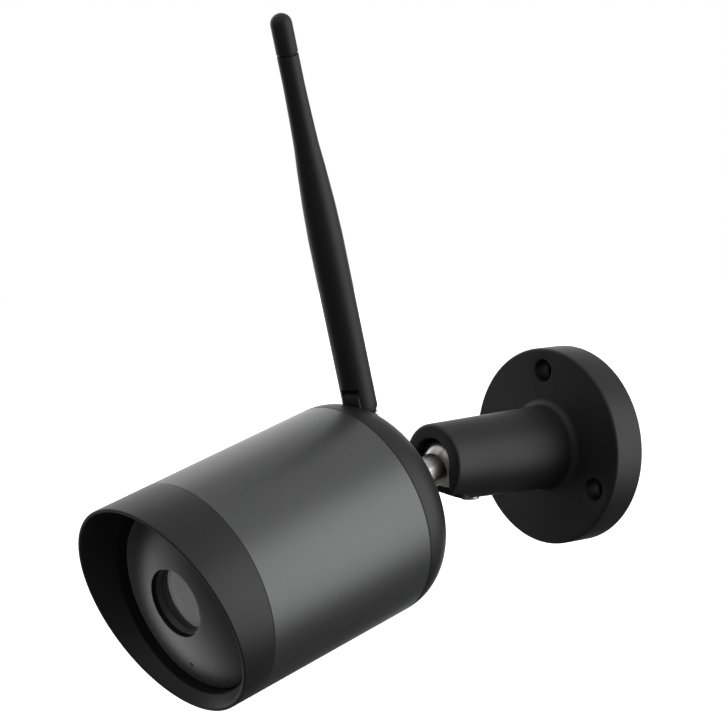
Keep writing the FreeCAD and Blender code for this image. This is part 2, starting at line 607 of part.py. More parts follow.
def chassis():
    start = rearSeam + 4.0
    disc_at = frontSeam + d.sensorAhead - 5.0
    disc = cylinder("chassis_disc", 27.5, 2.4, 0, 0, disc_at)
    opening = block("chassis_opening", 22, 22, 6, 0, 2, disc_at - 2)
    rails = [block(f"chassis_rail_{side}", 3, 7, disc_at - start, side * 22.6, d.mainBoardY + 3, start)
             for side in (-1, 1)]
    ledges = [block(f"chassis_ledge_{side}", 4, 1.6, disc_at - start, side * 20.0, d.mainBoardY + 1.7, start)
              for side in (-1, 1)]
    posts = []
    bores = []
    for number, (side, level) in enumerate(((1, 1), (-1, 1), (-1, -1), (1, -1))):
        x = side * d.rearScrewOffset
        y = level * d.rearScrewOffset
        reach = disc_at - d.rearFace - d.capWall - 0.2
        if level < 0:
            reach = rearSeam + 4.2 - d.rearFace - d.capWall - 0.2
        posts.append(cylinder(f"chassis_post_{number}", 2.6, reach, x, y, d.rearFace + d.capWall + 0.2))
        bores.append(cylinder(f"chassis_bore_{number}", 1.25, 12, x, y, d.rearFace))
    web = block("chassis_web", 47, 5, 2.2, 0, d.mainBoardY + 4.4, start - 0.1)
    solid = join("chassis_solid", disc, web, *rails, *ledges, *posts)
    piece("inner_chassis", cut("chassis_cut", solid, opening, *bores), headPlace)
    screws = []
    for number, (side, level) in enumerate(((1, 1), (-1, 1), (-1, -1), (1, -1))):
        x = side * d.rearScrewOffset
        y = level * d.rearScrewOffset
        head = cylinder(f"cap_screw_head_{number}", 2.5, 1.0, x, y, d.rearFace + 0.2)
        shank = cylinder(f"cap_screw_shank_{number}", 1.25, 10, x, y, d.rearFace + 1.0)
        cross = block(f"cap_screw_cross_{number}", 0.6, 3, 0.6, x, y, d.rearFace)
        bar = block(f"cap_screw_bar_{number}", 3, 0.6, 0.6, x, y, d.rearFace)
        screws.append(cut(f"cap_screw_{number}", join(f"cap_screw_solid_{number}", head, shank), cross, bar))
    piece("rear_cap_screws", group("cap_screw_group", *screws), headPlace)


def cable_gland():
    flange = cylinder("gland_flange", d.glandRadius, 2.4, 0, 0, -2.4)
    nose = cone("gland_nose", 3.0, d.glandRadius, 3.0, 0, 0, -5.4)
    shank = cylinder("gland_shank", 3.35, 9, 0, 0, -1)
    bore = cylinder("gland_hole_through", d.glandBore, 20, 0, 0, -7)
    piece("cable_gland", cut("gland_cut", join("gland_solid", flange, nose, shank), bore), glandPlace)
    piece("gland_nut", ring("gland_nut_ring", 5.0, 3.4, 2.6, 0, 0, 4.1), glandPlace)


# ---------------------------------------------------------------- antenna
def antenna_base():
    gap = 0.12
    foot = cylinder("base_foot", d.mastRadius - 0.15, 0.4, 0, 0, d.seatHeight - 0.25)
    tongue = block("base_tongue", d.tongueWide, 2 * d.crownRadius, d.pinHeight - d.seatHeight, 0, 0, d.seatHeight)
    crown = cylinder("base_crown", d.crownRadius, d.tongueWide, -d.tongueWide / 2, 0, d.pinHeight, "x")
    stem = cylinder("base_stem", d.stemRadius, d.seatHeight - 14.0, 0, 0, 14.2)
    round_off = cylinder("base_round", d.mastRadius - gap, 40, 0, 0, 8)
    solid = common("base_common", join("base_solid", foot, tongue, crown, stem), round_off)
    bore = cylinder("base_pin_bore", 1.25, 20, -10, 0, d.pinHeight, "x")
    groove = ring("base_groove", 4, d.stemRadius - 0.4, 0.8, 0, 0, 15.6)
    piece("antenna_base", cut("base_cut", solid, bore, groove), basePlace)
    piece("antenna_clip", ring("clip_ring", 2.6, d.stemRadius - 0.4, 0.7, 0, 0, 15.65), basePlace)
    piece("antenna_seal", torus("antenna_oring", 3.2, 0.34, 0, 0, d.seatHeight - 0.62), basePlace)


def antenna_mast():
    length = d.mastLength
    joint = length - 12
    profile = turned("mast_turning", [
        (0, -d.mastRadius), (d.mastRadius, -d.mastRadius), (d.mastRadius, length - 67),
        (d.mastRadius - 0.2, length - 58), (4.1, length - 45.5), (3.6, length - 39), (3.3, length - 30),
        (d.tipRadius, length - 21), (d.tipRadius, joint), (1.6, joint), (1.6, joint - 4), (1.1, joint - 4),
        (1.1, 9), (0, 9)])
    # the heel is rounded both ways, so that it turns inside the round seat
    heel = common("mast_heel", cylinder("heel_roll", d.mastRadius, 12, -6, 0, 0, "x"),
                  sphere("heel_ball", d.mastRadius + 0.4))
    rounding = join("mast_rounding", heel, block("mast_keep", 12, 12, length, 0, 0, 0))
    slot = block("fork_slot", d.tongueWide + 0.2, 14, d.slotTop + 8, 0, 0, -8)
    # the pin goes in from one side, and its hole stops short of the other
    bore = cylinder("fork_bore", 1.2, 10 + d.mastRadius - 1.0, -10, 0, 0, "x")
    piece("antenna_mast", cut("mast_cut", common("mast_common", profile, rounding), slot, bore), mastPlace)
    pin = cylinder("pin_rod", 1.2, 2 * d.mastRadius - 1.5, -d.mastRadius + 0.45, 0, 0, "x")
    piece("antenna_pin", pin, mastPlace)
    cap = turned("tip_turning", [
        (0, joint - 3.9), (1.55, joint - 3.9), (1.55, joint + 0.35), (d.tipRadius - 0.35, joint + 0.35),
        (d.tipRadius, joint + 0.8), (d.tipRadius, length - d.tipRadius, d.tipRadius), (0, length)])
    piece("antenna_tip", cap, mastPlace)
    piece("antenna_rod", cylinder("radiator_rod", 1.0, joint - 15, 0, 0, 10), mastPlace)


wall_bracket()
socket_liner()
lock_pieces()
ball_stud()
stud_nut()
rear_cap()
barrel()
visor()
seals()
front_panel()
window_pieces()
lens_pieces()
holder_pieces()
light_board()
main_board()
chassis()
cable_gland()
antenna_base()
antenna_mast()
doc.recompute()

# ---------------------------------------------------------------- tests, then one file for each piece
for obj in doc.Objects:
    bad = [state for state in obj.State if state in ("Invalid", "Error")]
    if bad:
        raise SystemExit(f"{obj.Name} ({obj.Label}) is {bad}")
for label, obj in pieces.items():
    if obj.Shape.isNull() or not obj.Shape.isValid() or not obj.Shape.Solids:
        raise SystemExit(f"{label} has no valid solid")

os.makedirs("parts", exist_ok=True)
for label, obj in pieces.items():
    obj.Shape.exportStep(f"parts/{label}.step")
    print(label, len(obj.Shape.Solids), round(obj.Shape.Volume, 1))
print(len(pieces), "pieces")
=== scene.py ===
import json
import math
import bmesh
import bpy
from mathutils import Matrix, Vector


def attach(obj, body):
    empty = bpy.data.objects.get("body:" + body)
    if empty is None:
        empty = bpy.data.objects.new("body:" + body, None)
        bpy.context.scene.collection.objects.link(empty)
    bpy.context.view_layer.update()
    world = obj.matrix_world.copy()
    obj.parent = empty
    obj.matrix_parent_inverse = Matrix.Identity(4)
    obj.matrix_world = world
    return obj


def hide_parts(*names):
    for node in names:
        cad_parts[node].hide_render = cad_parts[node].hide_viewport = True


# The looks of an outdoor bullet camera. Sizes here are in millimetres, and meshes are made in metres.
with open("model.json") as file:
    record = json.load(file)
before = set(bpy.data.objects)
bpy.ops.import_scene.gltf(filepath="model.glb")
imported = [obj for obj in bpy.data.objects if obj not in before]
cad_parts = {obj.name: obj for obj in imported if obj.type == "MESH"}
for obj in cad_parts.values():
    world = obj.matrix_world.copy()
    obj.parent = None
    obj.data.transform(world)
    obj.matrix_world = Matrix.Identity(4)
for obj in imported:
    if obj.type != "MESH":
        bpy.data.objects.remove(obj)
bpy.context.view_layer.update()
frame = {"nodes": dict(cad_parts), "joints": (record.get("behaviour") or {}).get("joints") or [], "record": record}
mm = 0.001
joints = {joint["name"]: joint for joint in frame["joints"]}
print("frame loaded")


# ---- local frames
def placement(origin, side, up, ahead):
    turn = Matrix((side, up, ahead)).transposed().to_4x4()
    return Matrix.Translation(Vector(origin) / mm) @ turn


headAhead = Vector(joints["roll"]["axis"])              # the way the lens looks
headUp = Vector(joints["antenna_swivel"]["axis"])       # towards the antenna's foot
headPlace = placement(joints["pan"]["pos_m"], headUp.cross(headAhead), headUp, headAhead)
armPlace = placement((0, 0, 0), (1, 0, 0), (0, 0, 1), (0, -1, 0))   # z out of the wall, y up
pinSide = -Vector(joints["antenna_fold"]["axis"])
forkPlace = placement(joints["antenna_fold"]["pos_m"], pinSide, headUp.cross(pinSide), headUp)
acrossPin = Matrix(((0, 0, 1, 0), (1, 0, 0, 0), (0, 1, 0, 0), (0, 0, 0, 1)))   # x, y, z become y, z, x
downwards = Matrix.Rotation(math.radians(90), 4, "X")   # z becomes -y, and y becomes z
upwards = Matrix.Rotation(math.radians(-90), 4, "X")    # z becomes y

# what several pieces of the head share
head = {"radius": 33.0, "rear": 28.0, "edge": 13.8, "rearSeam": 42.6, "frontSeam": 103.8,
        "tubeWall": 1.6, "spigot": 6.0, "spigotRadius": 31.3, "antennaAt": 32.1}


# the cable gland stands square on the cap's rounded edge; its frame has z into the head
gland = {"angle": 210, "slope": 45, "proud": 0.6, "boss": 5.6, "pad": 4.0, "hole": 3.4}


def glandFrame():
    turn = math.radians(gland["angle"])
    slope = math.radians(gland["slope"])
    outward = Vector((math.sin(turn), math.cos(turn), 0))
    inward = Vector((0, 0, math.cos(slope))) - outward * math.sin(slope)
    edgeCentre = outward * (head["radius"] - head["edge"]) + Vector((0, 0, head["rear"] + head["edge"]))
    spot = edgeCentre - inward * (head["edge"] + gland["proud"])
    turnIn = Vector((0, 0, 1)).rotation_difference(inward).to_matrix().to_4x4()
    return headPlace @ Matrix.Translation(spot) @ turnIn


# ---- mesh work
def rounded(corners, steps=6):
    # each corner is (a, b) or (a, b, rounding); a rounded corner becomes an arc
    points = []
    for number, corner in enumerate(corners):
        here = Vector(corner[:2])
        if len(corner) == 2:
            points.append(here)
            continue
        before = Vector(corners[number - 1][:2]) - here
        after = Vector(corners[(number + 1) % len(corners)][:2]) - here
        before.normalize()
        after.normalize()
        half = before.angle(after) / 2
        reach = corner[2] / math.tan(half)
        centre = here + (before + after).normalized() * corner[2] / math.sin(half)
        first = here + before * reach - centre
        sweep = first.angle_signed(here + after * reach - centre)
        count = max(steps, int(steps * corner[2] / 3))
        for step in range(count + 1):
            turn = Matrix.Rotation(-sweep * step / count, 2)
            points.append(centre + turn @ first)
    return points


def bow(centre, radius, begin, end, steps=24):
    # points on an arc, with angles in degrees from the outward direction towards the front
    turns = [math.radians(begin + (end - begin) * step / steps) for step in range(steps + 1)]
    return [(centre[0] + radius * math.cos(t), centre[1] + radius * math.sin(t)) for t in turns]


def hexagon(radius):
    turns = [math.radians(60 * number) for number in range(6)]
    return [(radius * math.cos(turn), radius * math.sin(turn)) for turn in turns]


def newPiece(name, mesh):
    bmesh.ops.remove_doubles(mesh, verts=mesh.verts, dist=2e-6)
    bmesh.ops.dissolve_degenerate(mesh, edges=mesh.edges, dist=1e-6)
    bmesh.ops.recalc_face_normals(mesh, faces=mesh.faces)
    data = bpy.data.meshes.new(name)
    mesh.to_mesh(data)
    mesh.free()
    piece = bpy.data.objects.new(name, data)
    bpy.context.scene.collection.objects.link(piece)
    return smooth(piece)


def smooth(piece, crease=32):
    piece.data.shade_smooth()
    piece.data.set_sharp_from_angle(angle=math.radians(crease))
    return piece


def turned(name, outline, place, around=144):
    # lathe work: the outline holds (radius, height) corners, or is a function of the angle from the top
    mesh = bmesh.new()
    rings = []
    for number in range(around):
        angle = 2 * math.pi * number / around
        corners = outline(angle) if callable(outline) else outline
        points = rounded(corners)
        spots = [place @ Vector((r * math.sin(angle), r * math.cos(angle), z)) for r, z in points]
        rings.append([mesh.verts.new(spot * mm) for spot in spots])
    solid = corners[0][0] == 0 and corners[-1][0] == 0
    spans = len(points) - 1 if solid else len(points)
    for number, ring in enumerate(rings):
        before = rings[number - 1]
        for span in range(spans):
            after = (span + 1) % len(points)
            mesh.faces.new((before[span], before[after], ring[after], ring[span]))
    return newPiece(name, mesh)


def prism(name, corners, low, high, place):
    mesh = bmesh.new()
    points = rounded(corners)
    ends = [[mesh.verts.new(place @ Vector((x, y, z)) * mm) for x, y in points] for z in (low, high)]
    mesh.faces.new(ends[0])
    mesh.faces.new(ends[1])
    for number in range(len(points)):
        mesh.faces.new((ends[0][number - 1], ends[0][number], ends[1][number], ends[1][number - 1]))
    return newPiece(name, mesh)


def applied(piece):
    graph = bpy.context.evaluated_depsgraph_get()
    done = bpy.data.meshes.new_from_object(piece.evaluated_get(graph))
    piece.modifiers.clear()
    piece.data = done
    return smooth(piece)


def combine(piece, others, operation="DIFFERENCE"):
    for other in others:
        change = piece.modifiers.new("combine", "BOOLEAN")
        change.operation = operation
        change.solver = "EXACT"
        change.object = other
        applied(piece)
        bpy.data.objects.remove(other)
    return piece


def softened(piece, width, limit=40, segments=2):
    edge = piece.modifiers.new("edge", "BEVEL")
    edge.width = width * mm
    edge.segments = segments
    edge.limit_method = "ANGLE"
    edge.angle_limit = math.radians(limit)
    return applied(piece)


def together(name, pieces):
    mesh = bmesh.new()
    for piece in pieces:
        mesh.from_mesh(piece.data)
        bpy.data.objects.remove(piece)
    return newPiece(name, mesh)


def finished(piece, body, slot, *nodes):
    piece.data.materials.clear()
    piece.data.materials.append(finishes[slot])
    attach(piece, body)
    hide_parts(*nodes)
    return piece


# ---- shader work
class Wire:                                             # a shader output that can take part in sums
    def __init__(self, finish, socket):
        self.finish = finish
        self.socket = socket

    def sum(self, operation, first, second):
        return self.finish.node("ShaderNodeMath", {"operation": operation}, {0: first, 1: second})

    def __add__(self, other):
        return self.sum("ADD", self, other)

    def __radd__(self, other):
        return self.sum("ADD", other, self)

    def __sub__(self, other):
        return self.sum("SUBTRACT", self, other)

    def __rsub__(self, other):
        return self.sum("SUBTRACT", other, self)

    def __mul__(self, other):
        return self.sum("MULTIPLY", self, other)

    def __rmul__(self, other):
        return self.sum("MULTIPLY", other, self)


class Net:                                              # a node tree while it is made
    def __init__(self, tree):
        self.tree = tree

    def feed(self, socket, value):
        if isinstance(value, Wire):
            self.tree.links.new(value.socket, socket)
        else:
            socket.default_value = value

    def node(self, kind, settings=None, sockets=None, output=0):
        made = self.tree.nodes.new(kind)
        for key, value in (settings or {}).items():
            if key == "stops":
                for number, (spot, colour) in enumerate(value):
                    stops = made.color_ramp.elements
                    stop = stops[number] if number < 2 else stops.new(spot)
                    stop.position = spot
                    stop.color = colour
            else:
                setattr(made, key, value)
        for key, value in (sockets or {}).items():
            self.feed(made.inputs[key], value)
        return Wire(self, made.outputs[output])

    def step(self, value, low, high):
        return self.node("ShaderNodeMapRange", {"interpolation_type": "SMOOTHSTEP"},
                         {"Value": value, "From Min": low, "From Max": high})


class Finish(Net):                                      # one material while it is made
    def __init__(self, name):
        self.material = bpy.data.materials.new(name)
        self.material.use_nodes = True
        super().__init__(self.material.node_tree)
        self.shader = self.tree.nodes["Principled BSDF"]
        self.place = self.node("ShaderNodeTexCoord", output="Object")

    def noise(self, size, detail=3.0, where=None):
        # mottling, with patches about this many millimetres across
        return self.node("ShaderNodeTexNoise", {}, {"Vector": where or self.place, "Scale": 1 / (size * mm),
                                                    "Detail": detail, "Roughness": 0.55})

    def cells(self, size, where=None, feature="F1"):
        return self.node("ShaderNodeTexVoronoi", {"feature": feature},
                         {"Vector": where or self.place, "Scale": 1 / (size * mm)})

    def along(self, axis):
        # the distance along a direction, in metres
        return self.node("ShaderNodeVectorMath", {"operation": "DOT_PRODUCT"},
                         {0: self.place, 1: axis}, output="Value")

    def tint(self, mask, first, second):
        made = self.node("ShaderNodeMix", {"data_type": "RGBA"}, {0: mask}, output=2)
        mixer = made.socket.node
        self.feed(mixer.inputs[6], first if isinstance(first, Wire) else (*first, 1))
        self.feed(mixer.inputs[7], second if isinstance(second, Wire) else (*second, 1))
        return made

    def bump(self, height, depth, before=None):
        sockets = {"Height": height, "Strength": 1.0, "Distance": depth * mm}
        if before:
            sockets["Normal"] = before
        return self.node("ShaderNodeBump", {}, sockets)

    def done(self, **sockets):
        for key, value in sockets.items():
            self.feed(self.shader.inputs[names[key]], value)
        return self.material


names = {"colour": "Base Color", "roughness": "Roughness", "metal": "Metallic", "normal": "Normal",
         "ior": "IOR", "coat": "Coat Weight", "alpha": "Alpha", "specular": "Specular IOR Level",
         "tintEdge": "Specular Tint", "glow": "Emission Strength", "glowColour": "Emission Color"}


def moulded(name, look):
    # moulded plastic or powder coat: fine grain, faint mottling and a slow change of gloss
    finish = Finish(name)
    grain = finish.noise(look["grain"], 2.0)
    patches = finish.noise(look.get("patch", 18), 4.0)
    colour = finish.tint(patches, look["dark"], look["light"])
    roughness = look["rough"] + (patches - 0.5) * 0.12 + (grain - 0.5) * 0.08
    return finish.done(colour=colour, roughness=roughness, normal=finish.bump(grain, look["depth"]),
                       specular=look.get("specular", 0.5))


def anodised(name, look):
    # satin metallic coat: tiny flakes under a thin clear layer
    finish = Finish(name)
    flakes = finish.cells(look["flake"])
    cloud = finish.noise(look["cloud"], 3.0)
    grain = finish.noise(look["grain"], 2.0)
    colour = finish.tint(flakes * 0.7 + cloud * 0.3, look["dark"], look["light"])
    roughness = look["rough"] + (cloud - 0.5) * 0.06 + (flakes - 0.5) * 0.05
    return finish.done(colour=colour, roughness=roughness, metal=look["metal"],
                       specular=look.get("specular", 0.5), normal=finish.bump(grain, look["depth"]))


def lathed(name, look, axis):
    # turned metal: tool rings along the axis, light wear and a few smudges
    finish = Finish(name)
    rings = finish.node("ShaderNodeTexNoise", {"noise_dimensions": "1D"},
                        {"W": finish.along(axis) * (1 / (look["ring"] * mm)), "Scale": 1.0, "Detail": 2.0})
    smudges = finish.noise(look["smudge"], 5.0)
    colour = finish.tint(smudges, look["dark"], look["light"])
    roughness = look["rough"] + finish.step(smudges, 0.45, 0.75) * 0.14 + (rings - 0.5) * 0.1
    return finish.done(colour=colour, roughness=roughness, metal=1.0,
                       normal=finish.bump(rings, look["depth"]))


def rubbery(name, look):
    finish = Finish(name)
    grain = finish.noise(look["grain"], 3.0)
    bloom = finish.noise(9, 5.0)
    colour = finish.tint(finish.step(bloom, 0.5, 0.8), look["dark"], look["light"])
    return finish.done(colour=colour, roughness=0.72 + (bloom - 0.5) * 0.2, normal=finish.bump(grain, 0.03))


def circuitBoard(name):
    # green solder mask over copper runs, with plated holes
    finish = Finish(name)
    runs = finish.node("ShaderNodeTexBrick", {"offset": 0.37},
                       {"Vector": finish.place, "Scale": 180.0, "Mortar Size": 0.03, "Mortar Smooth": 0.2},
                       output="Fac")
    holes = finish.step(finish.cells(3.1), 0.16, 0.1)
    mottle = finish.noise(6, 4.0)
    mask = finish.tint(mottle, (0.008, 0.07, 0.028), (0.015, 0.115, 0.045))
    lined = finish.tint(runs, mask, (0.03, 0.2, 0.08))
    colour = finish.tint(holes, lined, (0.75, 0.62, 0.35))
    return finish.done(colour=colour, roughness=0.3 + mottle * 0.15, metal=holes,
                       normal=finish.bump(runs - holes, 0.03))


def winding(name):
    # enamelled copper wire in close turns
    finish = Finish(name)
    turns = finish.node("ShaderNodeTexWave", {"bands_direction": "DIAGONAL"},
                        {"Vector": finish.place, "Scale": 900.0, "Distortion": 0.4})
    wear = finish.noise(2.5, 4.0)
    colour = finish.tint(wear, (0.5, 0.17, 0.07), (0.72, 0.33, 0.16))
    return finish.done(colour=colour, roughness=0.28 + wear * 0.2, metal=0.9, normal=finish.bump(turns, 0.08))


def glassy(name, look):
    # clear glass with a faint veil of haze and dust
    finish = Finish(name)
    haze = finish.noise(look.get("patch", 7), 5.0)
    veil = finish.step(haze, 0.3, 0.8)
    colour = finish.tint(veil, look["dark"], look["light"])
    return finish.done(colour=colour, roughness=look["rough"] + veil * 0.06, ior=1.5,
                       alpha=look["alpha"] + veil * 0.05, coat=look.get("coat", 0.0),
                       tintEdge=(*look.get("tint", (1, 1, 1)), 1),
                       specular=look.get("specular", 0.5), metal=look.get("metal", 0.0))


finishes = {
    "bracket_paint": moulded("bracketPaint", {
        "dark": (0.0125, 0.0125, 0.013), "light": (0.017, 0.017, 0.0178), "rough": 0.5, "grain": 0.35,
        "depth": 0.010}),
    "nylon": moulded("nylon", {
        "dark": (0.5, 0.48, 0.42), "light": (0.62, 0.6, 0.54), "rough": 0.45, "grain": 0.5, "depth": 0.01}),
    "steel": lathed("zincPlate", {
        "dark": (0.42, 0.42, 0.41), "light": (0.58, 0.58, 0.57), "rough": 0.32, "ring": 0.25, "smudge": 3,
        "depth": 0.006}, tuple(headAhead)),
    "polished_steel": lathed("polishedSteel", {
        "dark": (0.62, 0.6, 0.57), "light": (0.8, 0.78, 0.75), "rough": 0.27, "ring": 0.18, "smudge": 14,
        "depth": 0.001}, tuple(headAhead)),
    "shell_plastic": moulded("shellPlastic", {
        "dark": (0.0115, 0.0115, 0.012), "light": (0.0155, 0.0155, 0.016), "rough": 0.47, "grain": 0.3,
        "depth": 0.008}),
    "barrel_metal": anodised("barrelCoat", {
        "dark": (0.092, 0.093, 0.093), "light": (0.172, 0.174, 0.174), "rough": 0.39, "metal": 0.75,
        "flake": 0.12,
        "cloud": 30, "grain": 0.3, "depth": 0.004}),
    "face_plastic": moulded("facePlastic", {
        "dark": (0.012, 0.012, 0.0125), "light": (0.015, 0.015, 0.0155), "rough": 0.43, "grain": 0.5,
        "depth": 0.004, "specular": 0.6}),
    "rubber": rubbery("rubber", {"dark": (0.012, 0.012, 0.012), "light": (0.03, 0.03, 0.03), "grain": 0.4}),
    "bezel_plastic": moulded("bezelPlastic", {
        "dark": (0.05, 0.05, 0.05), "light": (0.065, 0.065, 0.065), "rough": 0.4, "grain": 0.25,
        "depth": 0.006}),
    "glass": glassy("windowGlass", {
        "dark": (0.12, 0.12, 0.12), "light": (0.17, 0.17, 0.17), "rough": 0.06, "alpha": 0.5,
        "specular": 0.8}),
    "lens_metal": lathed("blackAnodised", {
        "dark": (0.015, 0.015, 0.016), "light": (0.03, 0.03, 0.032), "rough": 0.35, "ring": 0.3, "smudge": 3,
        "depth": 0.02}, tuple(headAhead)),
    "coated_glass": glassy("coatedGlass", {
        "dark": (0.03, 0.035, 0.09), "light": (0.06, 0.07, 0.17), "rough": 0.05, "alpha": 0.85,
        "tint": (0.55, 0.65, 1.0), "specular": 1.0, "coat": 0.6}),
    "inner_plastic": moulded("innerPlastic", {
        "dark": (0.02, 0.02, 0.02), "light": (0.035, 0.035, 0.035), "rough": 0.55, "grain": 0.4,
        "depth": 0.012}),
    "filter_glass": glassy("filterGlass", {
        "dark": (0.12, 0.4, 0.42), "light": (0.2, 0.5, 0.5), "rough": 0.05, "alpha": 0.55,
        "tint": (0.6, 1, 0.9)}),
    "copper": winding("copperWinding"),
    "sensor": glassy("sensorSilicon", {
        "dark": (0.03, 0.02, 0.06), "light": (0.07, 0.05, 0.12), "rough": 0.12, "alpha": 0.95, "coat": 1.0,
        "patch": 2}),
    "board": circuitBoard("circuitBoard"),
    "led_epoxy": glassy("tintedEpoxy", {
        "dark": (0.02, 0.015, 0.03), "light": (0.06, 0.05, 0.08), "rough": 0.08, "alpha": 0.8, "coat": 0.8}),
    "brass": lathed("brass", {
        "dark": (0.5, 0.34, 0.12), "light": (0.68, 0.5, 0.22), "rough": 0.3, "ring": 0.3, "smudge": 4,
        "depth": 0.01}, tuple(headAhead)),
    "chip": moulded("chipResin", {
        "dark": (0.012, 0.012, 0.013), "light": (0.022, 0.022, 0.023), "rough": 0.6, "grain": 0.2,
        "depth": 0.01,
        "patch": 5}),
    "bare_aluminium": lathed("extrudedAluminium", {
        "dark": (0.55, 0.56, 0.58), "light": (0.72, 0.73, 0.75), "rough": 0.34, "ring": 0.4, "smudge": 6,
        "depth": 0.01}, (1, 0, 0)),
    "shield": lathed("tinnedShield", {
        "dark": (0.5, 0.5, 0.47), "light": (0.66, 0.65, 0.62), "rough": 0.3, "ring": 0.5, "smudge": 3,
        "depth": 0.006}, (1, 0, 0)),
    "antenna_plastic": moulded("antennaPlastic", {
        "dark": (0.009, 0.009, 0.0095), "light": (0.0125, 0.0125, 0.013), "rough": 0.52, "grain": 0.3,
        "depth": 0.008}),
}
for part in frame["record"]["subparts"]:
    shown = frame["nodes"][part["node"]]
    shown.data.materials.clear()
    shown.data.materials.append(finishes[part["material_slot"]])
print("finishes made:", len(finishes))


# ---- wall bracket
def wallBracket():
    arm = {"plate": 31.2, "thick": 11.6, "root": 13.2, "blend": 2.5, "tip": 12.0, "reach": 60.5,
           "mouth": 7.6, "flare": 7.75, "seat": 8.35, "bore": 9.35, "ball": 52.7, "slotEnd": 48.4,
           "holeCircle": 24.1, "hole": 2.2, "counterbore": 3.6, "deep": 7.5, "lockAt": 44.9, "lockHole": 3.0}
    lip = arm["ball"] + math.sqrt(arm["seat"] ** 2 - arm["mouth"] ** 2)
    lipAngle = math.degrees(math.asin((lip - arm["ball"]) / arm["seat"]))
    seatArc = bow((0, arm["ball"]), arm["seat"], lipAngle, 0, 8)
    piece = turned("wallBracket", [
        (arm["bore"], 0), (arm["plate"], 0, 0.6), (arm["plate"], arm["thick"], 0.9),
        (arm["root"], arm["thick"], arm["blend"]), (arm["tip"], arm["reach"], 1.1),
        (arm["flare"], arm["reach"], 0.3), (arm["mouth"], arm["reach"] - 3), *seatArc,
        (arm["seat"], arm["ball"] - 0.4), (arm["bore"], arm["ball"] - 0.4)], armPlace, 160)
    wide = arm["mouth"]
    beyond = arm["reach"] + 9.5
    slot = prism("slotCutter", [
        (-wide, beyond), (-wide, arm["slotEnd"], wide - 0.001), (wide, arm["slotEnd"], wide - 0.001),
        (wide, beyond)], 0, 16, armPlace @ downwards)
    hole = arm["lockHole"]
    lock = turned("lockCutter", [(0, 0), (hole, 0), (hole, 11.9), (hole + 0.5, 12.4), (hole + 0.5, 16),
                                 (0, 16)],
                  armPlace @ Matrix.Translation((0, 0, arm["lockAt"])) @ downwards, 48)
    cutters = [slot, lock]
    top = arm["thick"]
    for number in range(3):
        spin = Matrix.Rotation(math.radians(120 * number), 4, "Z")
        spot = armPlace @ spin @ Matrix.Translation((0, arm["holeCircle"], 0))
        cutters.append(turned("screwCutter", [
            (0, -1), (arm["hole"] + 0.3, -1), (arm["hole"] + 0.3, 0), (arm["hole"], 0.4),
            (arm["hole"], top - arm["deep"]), (arm["counterbore"], top - arm["deep"]),
            (arm["counterbore"], top, 0.25), (arm["counterbore"] + 2, top), (arm["counterbore"] + 2, top + 1),
            (0, top + 1)], spot, 64))
    combine(piece, cutters)
    finished(piece, "bracket", "bracket_paint", "wall_bracket")


def lockScrew():
    screw = {"radius": 2.9, "top": -9.05, "bottom": -12.85, "socket": 1.45, "at": 44.9}
    place = armPlace @ Matrix.Translation((0, 0, screw["at"])) @ downwards
    piece = turned("lockScrew", [(0, -screw["top"]), (screw["radius"], -screw["top"], 0.3),
                                 (screw["radius"], -screw["bottom"], 0.5), (0, -screw["bottom"])], place, 64)
    combine(piece, [prism("socketCutter", hexagon(screw["socket"]), 10.9, 14, place)])
    finished(piece, "screw", "steel", "lock_screw")


# ---- ball joint
def ballStud():
    stud = {"ball": 8.3, "neck": 5.0, "neckEnd": 20.0, "thread": 3.0, "tip": 37.5, "pitch": 1.0, "flat": 4.4}
    meet = math.degrees(math.acos(stud["neck"] / stud["ball"]))
    ball = bow((0, 0), stud["ball"], -90, meet, 56)
    ball[0] = (0, -stud["ball"])
    thread = []
    height = stud["neckEnd"] + 0.6
    while height < stud["tip"] - 1.4:
        thread += [(stud["thread"] - 0.35, height), (stud["thread"], height + stud["pitch"] / 2)]
        height += stud["pitch"]
    piece = turned("ballStud", [
        *ball, (stud["neck"], stud["neckEnd"], 0.6), (stud["thread"] - 0.35, stud["neckEnd"]), *thread,
        (stud["thread"] - 0.35, stud["tip"], 0.5), (0, stud["tip"])], headPlace, 128)
    flats = []
    for side in (-1, 1):
        near = side * stud["flat"]
        far = side * 9
        flats.append(prism("flatCutter", [(near, -9), (far, -9), (far, 9), (near, 9)], 14, 19, headPlace))
    combine(piece, flats)
    finished(piece, "stud", "polished_steel", "ball_stud")


def studNut():
    nut = {"across": 12.0, "low": 21.4, "high": 26.4, "bore": 3.05}
    long = nut["across"] / math.sqrt(3)
    piece = prism("studNut", hexagon(long), nut["low"], nut["high"], headPlace)
    crown = long + 0.15
    outline = [(0, nut["low"] - 1), (crown - 1.3, nut["low"] - 0.3), (crown, nut["low"] + 0.45),
               (crown, nut["high"] - 0.45), (crown - 1.3, nut["high"] + 0.3), (0, nut["high"] + 1)]
    combine(piece, [turned("nutRounding", outline, headPlace, 96)], "INTERSECT")
    bore = [(0, 20), (nut["bore"], 20), (nut["bore"], 28), (0, 28)]
    combine(piece, [turned("nutBore", bore, headPlace, 64)])
    finished(softened(piece, 0.12), "stud", "steel", "stud_nut")


def studWasher():
    washer = {"outer": 7.5, "inner": 3.1, "low": 26.6, "high": 28.0}
    piece = turned("studWasher", [
        (washer["inner"], washer["low"], 0.2), (washer["outer"], washer["low"], 0.35),
        (washer["outer"], washer["high"], 0.2), (washer["inner"], washer["high"])], headPlace, 96)
    finished(piece, "head", "steel", "stud_washer")


